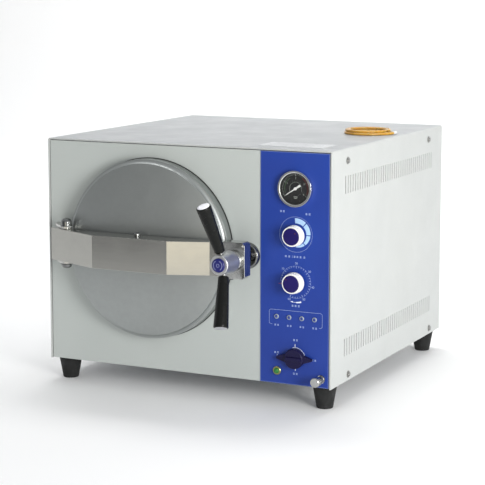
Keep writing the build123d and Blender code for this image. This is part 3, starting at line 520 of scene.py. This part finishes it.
edge_widths = {  # millimetres of rounding on each CAD node, in the order the pieces are made
    "cover": 0.3, "front_panel": 0.4, "rear_panel": 0.4, "base_tray": 0.4, "top_rails": 0.4,
    "case_screws": 0.15, "feet": 0.5, "instruction_plate": 0.12, "chamber_vessel": 0.5,
    "insulation_jacket": 3.0, "vessel_saddles": 1.0, "heating_element": 0.0, "tray_rack": 0.3,
    "trays": 0.25, "hinge_bracket": 0.5, "hinge_pin": 0.4, "hinge_nuts": 0.2, "latch_boss": 0.4,
    "control_overlay": 0.15, "gauge_case": 0.2, "gauge_bezel": 0.25, "gauge_dial": 0.1,
    "gauge_lens": 0.2, "pressure_controller": 0.8, "timer_movement": 0.8, "selector_valve": 0.8,
    "indicator_lamps": 0.15, "power_switch": 0.15, "drain_cock_body": 0.2, "safety_valve_body": 0.3,
    "power_inlet": 0.3, "water_tank": 1.0, "steam_pipes": 0.0, "crossbar_arm": 0.5,
    "arm_end_block": 0.6, "door_lug": 0.5, "door_pivot_pin": 0.2, "door_dish": 0.3,
    "door_pressure_plate": 0.4, "door_gasket": 0.2, "thrust_collar": 0.15, "clamp_screw": 0.3,
    "handle_hub": 0.3, "hub_cap": 0.3, "handle_rods": 0.0, "handle_grips": 0.4, "pressure_knob": 0.25,
    "pressure_knob_cap": 0.2, "pressure_spindle": 0.3, "timer_knob": 0.25, "timer_knob_cap": 0.2,
    "timer_spindle": 0.3, "selector_knob": 0.3, "selector_stem": 0.3, "power_button": 0.2,
    "drain_cock_knob": 0.1, "gauge_needle": 0.08, "safety_valve_ring": 0.3,
}
dark_chrome = polished("dark_chrome", (0.20, 0.205, 0.205), 0.06, 0.16)
bezel_chrome = polished("bezel_chrome", (0.78, 0.79, 0.78), 0.1, 0.2)
olive_ring = polished("olive_ring", (0.36, 0.36, 0.16), 0.3, 0.45)
own_finish = {"power_switch": olive_ring, "hinge_nuts": dark_chrome, "door_pivot_pin": dark_chrome,
              "latch_boss": dark_chrome, "gauge_bezel": bezel_chrome}
for node, width in edge_widths.items():
    refined(node, width, finish=own_finish.get(node))

# ---------------------------------------------------------------- small fittings that the CAD leaves out


def turned_about(origin, axis, profile, segments=48):
    """Bmesh turned about an axis. Each profile point is (radius, distance along the axis) in millimetres."""
    axis = Vector(axis).normalized()
    side = axis.orthogonal().normalized()
    other = axis.cross(side)
    shape = bmesh.new()
    rings = []
    for radius, along in profile:
        centre = Vector(origin) + axis * along * mm
        ring = []
        for step in range(segments if radius else 1):
            turn = 2 * pi * step / segments
            ring.append(shape.verts.new(centre + (side * cos(turn) + other * sin(turn)) * radius * mm))
        rings.append(ring)
    for first, second in zip(rings, rings[1:] + rings[:1]):
        for step in range(segments):
            corners = [first[step % len(first)], first[(step + 1) % len(first)],
                       second[(step + 1) % len(second)], second[step % len(second)]]
            corners = list(dict.fromkeys(corners))
            if len(corners) > 2:
                shape.faces.new(corners)
    bmesh.ops.recalc_face_normals(shape, faces=shape.faces)
    shade(shape, 40.0)
    return shape


front = Vector((0, -1, 0))


def half_width(node):
    """Half of a CAD node's width across, in millimetres."""
    return (high(node).x - low(node).x) / 2 / mm


def door_trim():
    """Thin dark rubber ring round the back of the door's rim: a painted shadow for the shaded gap between
    door and panel.
    """
    centre = middle("door_dish")
    radius = half_width("door_dish")
    origin = Vector((centre.x, high("door_dish").y, centre.z))
    profile = [(radius + 0.05, -0.3), (radius + 0.8, -0.3), (radius + 1.1, 0.1), (radius + 1.0, 1.0),
               (radius + 0.05, 1.3)]
    # Painted shadow: this dark ring stands in for the gap and contact shadow behind the door.
    add_shape("door_rim_painted_shadow", turned_about(origin, front, profile, 160), "door", "foot_rubber")


def grip_end_discs():
    """Pale disc let into the end of each grip, dished a little."""
    tilt = radians(24.0)
    turn = radians(9.0)
    grip_reach = 96.0
    rod_radius = 4.0
    rod_root = 7.0
    rods = "handle_rods"
    hub_back = high(rods).y + (rod_root * sin(tilt) - rod_radius * cos(tilt)) * mm
    hub = Vector((middle(rods).x, hub_back, middle(rods).z))
    silver = polished("disc_silver", (0.80, 0.80, 0.84), 0.3, 0.42)
    profile = [(0, -0.6), (9.2, -0.6), (9.2, 0.12), (8.9, 0.26), (6.0, 0.22), (0, 0.14)]
    for name, side in (("upper", 1), ("lower", -1)):
        axis = Vector((-side * sin(turn) * cos(tilt), -sin(tilt), side * cos(turn) * cos(tilt)))
        shape = turned_about(hub + axis * grip_reach * mm, axis, profile)
        add_shape("grip_disc_" + name, shape, "clamp_handle", "hub_metal", silver)


def hub_mark():
    """Broken pale ring pressed into the hub's cap."""
    centre = middle("hub_cap")
    face = low("hub_cap").y
    ink = printed("mark_silver", (0.36, 0.40, 0.62), 0.3)
    mark = Print(centre.x, centre.z, face)
    mark.sector(6.6, 7.2, 20, 150).sector(6.6, 7.2, 205, 335).sector(2.0, 2.5, 0, 360)
    mark.finish("hub_cap_mark", ink, "clamp_handle", "cap_blue")


def knob_dots():
    """Small red index spot on the cap of each dial knob."""
    for knob, body, right, up in (("pressure_knob_cap", "pressure_control", 6.4, 5.2),
                                  ("timer_knob_cap", "timer_control", -7.6, 6.2)):
        centre = middle(knob)
        origin = Vector((centre.x + right * mm, low(knob).y, centre.z + up * mm))
        profile = [(0, -0.5), (0.9, -0.5), (0.9, -0.05), (0.7, 0.05), (0, 0.08)]
        add_shape(knob + "_spot", turned_about(origin, front, profile, 24), body, "cap_indigo", ink_rust)


def lamp_bezels():
    """Raised pale ring round each lamp."""
    pale = moulded("bezel_grey", (0.26, 0.30, 0.34), 0.35)
    profile = [(2.3, 0.6), (3.55, 0.02), (3.55, 0.9), (3.2, 1.6), (2.8, 1.9), (2.3, 1.8)]
    lamps = middle("indicator_lamps")
    shape = bmesh.new()
    for place in lamp_places:
        origin = Vector((lamps.x + place * mm, film_face, lamps.z))
        mesh = to_mesh("lamp_ring", turned_about(origin, front, profile, 32))
        shape.from_mesh(mesh)
        bpy.data.meshes.remove(mesh)
    add_shape("lamp_bezels", shape, "cabinet", "lamp_blue", pale)


def end_block_screw():
    """Round screw head under the end block."""
    block = middle("arm_end_block")
    origin = Vector((block.x - 6 * mm, block.y, low("arm_end_block").z))
    profile = [(0, -0.4), (4.4, -0.4), (4.4, 1.6), (3.8, 2.7), (2.4, 3.3), (2.0, 1.9), (0, 1.9)]
    shape = turned_about(origin, (0, 0, -1), profile, 32)
    add_shape("end_block_screw", shape, "door", "steel_screw", dark_chrome)


def hinge_washers():
    """Thin washer between each ear of the hinge and its nut."""
    pin = middle("hinge_pin")
    outer = half_width("hinge_nuts") + 1.1
    inner = outer - 2.4
    profile = [(inner, 0.02), (outer - 0.2, 0.02), (outer, 0.25), (outer - 0.2, 1.1), (outer - 1.0, 1.3),
               (inner, 1.3)]
    for name, edge, up in (("upper", high("hinge_bracket").z, 1), ("lower", low("hinge_bracket").z, -1)):
        origin = Vector((pin.x, pin.y, edge))
        shape = turned_about(origin, (0, 0, up), profile, 40)
        add_shape("hinge_washer_" + name, shape, "cabinet", "chrome", dark_chrome)


# ---------------------------------------------------------------- printed marks

print_proud = 0.05 * mm
print_thickness = 0.06 * mm


class Print:
    """Flat printed marks on an upright face, drawn in millimetres from a centre."""

    def __init__(self, x, z, face):
        self.shape = bmesh.new()
        self.x = x
        self.z = z
        self.face = face - print_proud

    def area(self, corners):
        """Filled outline of (right, up) corners."""
        verts = []
        for right, up in corners:
            place = (self.x + right * mm, self.face, self.z + up * mm)
            verts.append(self.shape.verts.new(place))
        self.shape.faces.new(verts)
        return self

    def bar(self, right, up, width, height):
        """Upright rectangle about a middle."""
        half = (width / 2, height / 2)
        return self.area([(right - half[0], up - half[1]), (right + half[0], up - half[1]),
                          (right + half[0], up + half[1]), (right - half[0], up + half[1])])

    def sector(self, inner, outer, start, end, inner_end=None, outer_end=None):
        """Part of a ring between two clock angles in degrees, which may narrow toward its end."""
        steps = max(2, int(abs(end - start) / 3))
        inner_end = inner if inner_end is None else inner_end
        outer_end = outer if outer_end is None else outer_end
        for step in range(steps):
            corners = []
            for share, side in ((step, 0), (step, 1), (step + 1, 1), (step + 1, 0)):
                part = share / steps
                angle = radians(start + (end - start) * part)
                if side:
                    reach = outer + (outer_end - outer) * part
                else:
                    reach = inner + (inner_end - inner) * part
                corners.append((reach * sin(angle), reach * cos(angle)))
            self.area(corners)
        return self

    def glyph(self, right, up, size):
        """Plain stand-in for a printed character: two short dashes, one over the other."""
        return (self.bar(right, up + 0.25 * size, 0.8 * size, 0.3 * size)
                .bar(right, up - 0.25 * size, 0.8 * size, 0.3 * size))

    def tick(self, inner, outer, angle, width):
        """Radial mark at a clock angle."""
        turn = radians(angle)
        along = Vector((sin(turn), cos(turn)))
        side = Vector((cos(turn), -sin(turn))) * width / 2
        return self.area([along * inner + side, along * outer + side,
                          along * outer - side, along * inner - side])

    def number(self, text, right, up, size):
        """Plain dial number about a middle."""
        letters = bpy.data.curves.new("number", "FONT")
        letters.body = str(text)
        letters.size = size * mm
        letters.align_x = "CENTER"
        letters.align_y = "CENTER"
        holder = bpy.data.objects.new("number", letters)
        flat = bpy.data.meshes.new_from_object(holder)
        flat.transform(Matrix.Translation((self.x + right * mm, self.face, self.z + up * mm))
                       @ Matrix.Rotation(pi / 2, 4, "X"))
        self.shape.from_mesh(flat)
        bpy.data.objects.remove(holder)
        bpy.data.meshes.remove(flat)
        return self

    def finish(self, name, ink, body="cabinet", slot="overlay_blue"):
        """Gives the marks their thickness and makes the piece."""
        bmesh.ops.remove_doubles(self.shape, verts=self.shape.verts, dist=weld_distance)
        bmesh.ops.recalc_face_normals(self.shape, faces=self.shape.faces)
        raised = bmesh.ops.extrude_face_region(self.shape, geom=list(self.shape.faces))
        moved = [item for item in raised["geom"] if isinstance(item, bmesh.types.BMVert)]
        bmesh.ops.translate(self.shape, vec=(0, -print_thickness, 0), verts=moved)
        bmesh.ops.recalc_face_normals(self.shape, faces=self.shape.faces)
        return add_shape(name, self.shape, body, slot, ink)


ink_white = printed("ink_white", (0.72, 0.76, 0.86))
ink_pale = printed("ink_pale", (0.33, 0.42, 0.68))
ink_soft = printed("ink_soft", (0.15, 0.21, 0.48))
ink_sky = printed("ink_sky", (0.42, 0.62, 0.88))
ink_red = printed("ink_red", (0.30, 0.035, 0.05))
ink_rust = printed("ink_rust", (0.085, 0.018, 0.018))
ink_grey = printed("ink_grey", (0.46, 0.49, 0.45))
film_face = low("control_overlay").y


def at_film(node, lift=0.0):
    """Print on the control overlay about a control's middle, or a little above it."""
    centre = middle(node)
    return Print(centre.x, centre.z + lift * mm, film_face)


lamp_radius = (high("indicator_lamps").z - low("indicator_lamps").z) / 2 / mm
lamp_pitch = ((high("indicator_lamps").x - low("indicator_lamps").x) / mm - 2 * lamp_radius) / 3
lamp_places = [step * lamp_pitch for step in (-1.5, -0.5, 0.5, 1.5)]


def pressure_scale():
    """Thin circle round the pressure knob with four light segments that narrow."""
    ring = at_film("pressure_knob", 1.0)
    ring.sector(25.85, 26.2, 0, 360).finish("pressure_ring_print", ink_pale)
    marks = at_film("pressure_knob", 1.0)
    inner = 16.6
    for start, end, first, last in ((-4, 41, 24.0, 23.9), (45, 89, 23.8, 23.2), (93, 134, 23.0, 21.2),
                                    (138, 180, 20.8, 18.6)):
        marks.sector(inner, first, start, end, inner, last)
    marks.finish("pressure_segments_print", ink_sky)
    labels = at_film("pressure_knob")
    for right in (-16, -10.5, -2, 2.5, 7.5, 13.5):
        labels.glyph(right, -32, 3.2)
    labels.bar(-5.6, -32, 0.35, 3.6)
    for right, up in ((-24, 34.2), (-19.5, 34.2), (16.5, 32.0), (21.5, 32.0)):
        labels.glyph(right, up, 3.3)
    labels.finish("pressure_labels_print", ink_pale)


def timer_scale():
    """Sixty-minute scale round the timer knob, with an arrow under it."""
    zero = 262
    minute = 5
    longest = 60
    number_radius = 27.8
    marks = at_film("timer_knob")
    marks.sector(24.0, 24.2, zero + 2 * minute, zero + longest * minute)
    for count in range(2, longest + 1, 2):
        marks.tick(21.8 if count % 10 else 20.6, 24.1, zero + count * minute, 0.6)
    for count in range(10, longest + 1, 10):
        turn = radians(zero + count * minute)
        marks.number(count, number_radius * sin(turn), number_radius * cos(turn), 4.6)
    marks.finish("timer_scale_print", ink_pale)
    arrow = at_film("timer_knob")
    arrow.sector(28.9, 31.3, 163, 179, 29.4, 30.9).sector(29.9, 30.4, 179, 189)
    arrow.sector(28.9, 31.2, 189, 197, 30.0, 30.1)
    arrow.finish("timer_arrow_print", ink_white)
    at_film("timer_knob").tick(21.0, 27.6, zero, 0.6).finish("timer_zero_print", ink_red)
    labels = at_film("timer_knob")
    for right in (-5.0, 0.0, 5.0):
        labels.glyph(right, -35.4, 3.2)
    labels.finish("timer_labels_print", ink_pale)


def lamp_frame():
    """Bracket round the four lamps, open below, with a mark under each lamp."""
    frame_half = 42.5
    frame_top = 10.0
    frame_low = -12.0
    corner = 3.0
    line = 0.42
    marks = at_film("indicator_lamps")
    marks.bar(0, frame_top, 2 * (frame_half - corner), line)
    upright = frame_top - frame_low - 2 * corner
    for side in (-1, 1):
        marks.bar(side * frame_half, (frame_top + frame_low) / 2, line, upright)
        marks.bar(side * (frame_half - corner - 1), frame_low, 2.0, line)
        for up in (1, -1):
            centre = (side * (frame_half - corner), (frame_top - corner) if up > 0 else (frame_low + corner))
            for step in range(4):
                corners = []
                for reach, part in ((corner - line / 2, step), (corner + line / 2, step),
                                    (corner + line / 2, step + 1), (corner - line / 2, step + 1)):
                    turn = radians(part * 22.5)
                    corners.append((centre[0] + side * reach * cos(turn),
                                    centre[1] + up * reach * sin(turn)))
                marks.area(corners)
    marks.finish("lamp_frame_print", ink_pale)
    labels = at_film("indicator_lamps")
    for place in lamp_places:
        for side in (-1, 1):
            labels.glyph(place + side * 2.3, -12.8, 3.0)
    labels.finish("lamp_labels_print", ink_pale)


def selector_scale():
    """Quarter arc and four stops round the selector."""
    marks = at_film("selector_knob")
    marks.sector(15.5, 16.1, -18, 76)
    marks.bar(-0.6, 18.6, 1.0, 4.8).bar(18.4, 0.8, 4.6, 0.6)
    marks.bar(0, -17.6, 0.9, 2.6).bar(-29.4, 2.6, 1.4, 0.6)
    marks.finish("selector_scale_print", ink_white)
    labels = at_film("selector_knob")
    for right, up in ((0, 27), (29.5, -0.5), (0, -23.5), (-30.5, 6)):
        labels.glyph(right - 2.3, up, 3.2).glyph(right + 2.3, up, 3.2)
    labels.finish("selector_labels_print", ink_pale)


def overlay_border():
    """Pale line along the overlay's edges."""
    centre = middle("control_overlay")
    half = (high("control_overlay") - low("control_overlay")) / 2 / mm
    marks = Print(centre.x, centre.z, film_face)
    inset = 0.7
    for side in (-1, 1):
        marks.bar(side * (half.x - inset), 0, 0.5, 2 * half.z - 0.4)
        marks.bar(0, side * (half.z - inset), 2 * half.x - 2.6, 0.5)
    marks.finish("overlay_border_print", ink_soft)


def dial_marks():
    """Scale of the pressure gauge: ticks, numbers, a green band and a red band."""
    centre = middle("gauge_dial")
    zero = 237
    sweep = 246
    top_number = 4
    steps = 40
    number_radius = 15.2
    face = low("gauge_dial").y
    marks = Print(centre.x, centre.z, face)
    for count in range(steps + 1):
        inner, width = (19.8, 0.3) if count % 10 else (18.4, 0.5)
        marks.tick(inner, 21.4, zero + sweep * count / steps, width)
    for count in range(top_number + 1):
        turn = radians(zero + sweep * count / top_number)
        marks.number(count, number_radius * sin(turn), number_radius * cos(turn), 3.6)
    marks.sector(9.6, 9.85, zero + 8, zero + sweep - 8)
    marks.bar(0, -12.0, 6.0, 0.9).bar(0, -14.2, 3.6, 0.7)
    marks.finish("dial_scale_print", ink_grey, slot="dial_face")
    green = printed("ink_green", (0.045, 0.09, 0.04))
    band = Print(centre.x, centre.z, face).sector(16.9, 17.8, 250, 330)
    band.finish("dial_green_print", green, slot="dial_face")
    band = Print(centre.x, centre.z, face).sector(18.0, 22.2, 34, 116)
    band.finish("dial_red_print", ink_rust, slot="dial_face")


def plate_outline():
    """Thin grey line round the instruction plate, and six plain bars on it."""
    left, right = low("instruction_plate"), high("instruction_plate")
    top = right.z + 0.03 * mm
    thickness = 0.06 * mm
    shape = bmesh.new()

    def strip(x, y):
        """Thin raised bar between two x and two y places."""
        corners = ((x[0], y[0]), (x[1], y[0]), (x[1], y[1]), (x[0], y[1]))
        lower = [shape.verts.new((u, v, top)) for u, v in corners]
        upper = [shape.verts.new((u, v, top + thickness)) for u, v in corners]
        shape.faces.new(upper)
        shape.faces.new(lower[::-1])
        for step in range(4):
            shape.faces.new((lower[step], lower[(step + 1) % 4], upper[(step + 1) % 4], upper[step]))

    line = 0.8 * mm
    for x in ((left.x + 2 * line, left.x + 3 * line), (right.x - 3 * line, right.x - 2 * line)):
        strip(x, (left.y + 2 * line, right.y - 2 * line))
    for y in ((left.y + 2 * line, left.y + 3 * line), (right.y - 3 * line, right.y - 2 * line)):
        strip((left.x + 3 * line, right.x - 3 * line), y)
    row_pitch = 7.5
    for row in range(6):
        y = right.y - (9.0 + row_pitch * row) * mm
        strip((left.x + 9 * mm, right.x - (12 + 9 * (row % 3)) * mm), (y - 0.5 * mm, y))
    grey = printed("ink_plate", (0.40, 0.42, 0.45))
    add_shape("plate_print", shape, "cabinet", "plate_film", grey)


pressure_scale()
timer_scale()
lamp_frame()
selector_scale()
overlay_border()
dial_marks()
plate_outline()
door_trim()
grip_end_discs()
hub_mark()
knob_dots()
lamp_bezels()
end_block_screw()
hinge_washers()

# ---------------------------------------------------------------- floor, backdrop and light

floor_front = -1.3
floor_back = 2.6
sweep_radius = 1.2
wall_top = 3.4
stage_half = 5.0


def studio_sweep():
    """Pale floor that curves up into a backdrop."""
    steps = 24
    line = [(floor_front, 0.0), (floor_back, 0.0)]
    for step in range(1, steps + 1):
        turn = pi / 2 * step / steps
        line.append((floor_back + sweep_radius * sin(turn), sweep_radius * (1 - cos(turn))))
    line.append((floor_back + sweep_radius, wall_top))
    shape = bmesh.new()
    rows = [[shape.verts.new((side * stage_half, y, z)) for side in (-1, 1)] for y, z in line]
    for first, second in zip(rows, rows[1:]):
        shape.faces.new((first[0], first[1], second[1], second[0]))
    shade(shape)
    floor = bpy.data.objects.new("studio_floor", to_mesh("studio_floor", shape))
    scene.collection.objects.link(floor)
    paper = Surface("backdrop_paper", (0.93, 0.93, 0.93), 0.8)
    paper.tint(paper.noise(3.0, 2.0), (0.92, 0.925, 0.93), 0.5)
    paper.bump(paper.noise(300.0, 3.0), 0.05 * mm)
    floor.data.materials.append(paper.material)


def soft_light(name, place, aim, size, power, colour=(1, 1, 1)):
    """Large square lamp that faces a point."""
    lamp = bpy.data.lights.new(name, "AREA")
    lamp.size = size
    lamp.energy = power
    lamp.color = colour
    holder = bpy.data.objects.new(name, lamp)
    scene.collection.objects.link(holder)
    holder.location = place
    holder.rotation_euler = (Vector(place) - Vector(aim)).to_track_quat("Z", "Y").to_euler()


def studio_world():
    """Soft surround: pale round the bench, dimmer overhead, with a dark patch at the left and a warm one."""
    world = bpy.data.worlds.new("studio")
    scene.world = world
    world.use_nodes = True
    nodes = world.node_tree.nodes
    links = world.node_tree.links
    sight = nodes.new("ShaderNodeTexCoord").outputs["Generated"]

    def toward(azimuth, height, near, far, bottom, top):
        """Value that goes from bottom to top as the angle from a direction goes from far to near."""
        dot = nodes.new("ShaderNodeVectorMath")
        dot.operation = "DOT_PRODUCT"
        dot.inputs[1].default_value = direction(azimuth, height)
        links.new(sight, dot.inputs[0])
        spread = nodes.new("ShaderNodeMapRange")
        spread.interpolation_type = "SMOOTHSTEP"
        spread.inputs["From Min"].default_value = cos(radians(far))
        spread.inputs["From Max"].default_value = cos(radians(near))
        spread.inputs["To Min"].default_value = bottom
        spread.inputs["To Max"].default_value = top
        links.new(dot.outputs["Value"], spread.inputs["Value"])
        return spread.outputs["Result"]

    def combined(kind, first, second):
        """Arithmetic on two values."""
        math = nodes.new("ShaderNodeMath")
        math.operation = kind
        links.new(first, math.inputs[0])
        links.new(second, math.inputs[1])
        return math.outputs[0]

    warm_patch = (15, -6, 5, 24, 0.0)
    base = toward(0, 90, 20, 85, 0.85, 0.6)
    dark = toward(-33, -4, 8, 54, 1.0, 0.3)
    bright = toward(*warm_patch, 0.95)
    strength = combined("ADD", combined("MULTIPLY", base, dark), bright)
    links.new(strength, nodes["Background"].inputs["Strength"])
    warmth = nodes.new("ShaderNodeMix")
    warmth.data_type = "RGBA"
    warmth.inputs[6].default_value = (0.97, 0.985, 1.0, 1.0)
    warmth.inputs[7].default_value = (1.0, 0.93, 0.78, 1.0)
    links.new(toward(*warm_patch, 1.0), warmth.inputs[0])
    links.new(warmth.outputs[2], nodes["Background"].inputs["Color"])


studio_sweep()
studio_world()
soft_light("key", (1.9, -1.3, 0.5), (0.1, -0.1, 0.2), 0.8, 44, (1.0, 0.99, 0.97))
soft_light("backdrop", (-0.4, 1.2, 2.9), (-0.4, 3.0, 0.6), 2.2, 75)
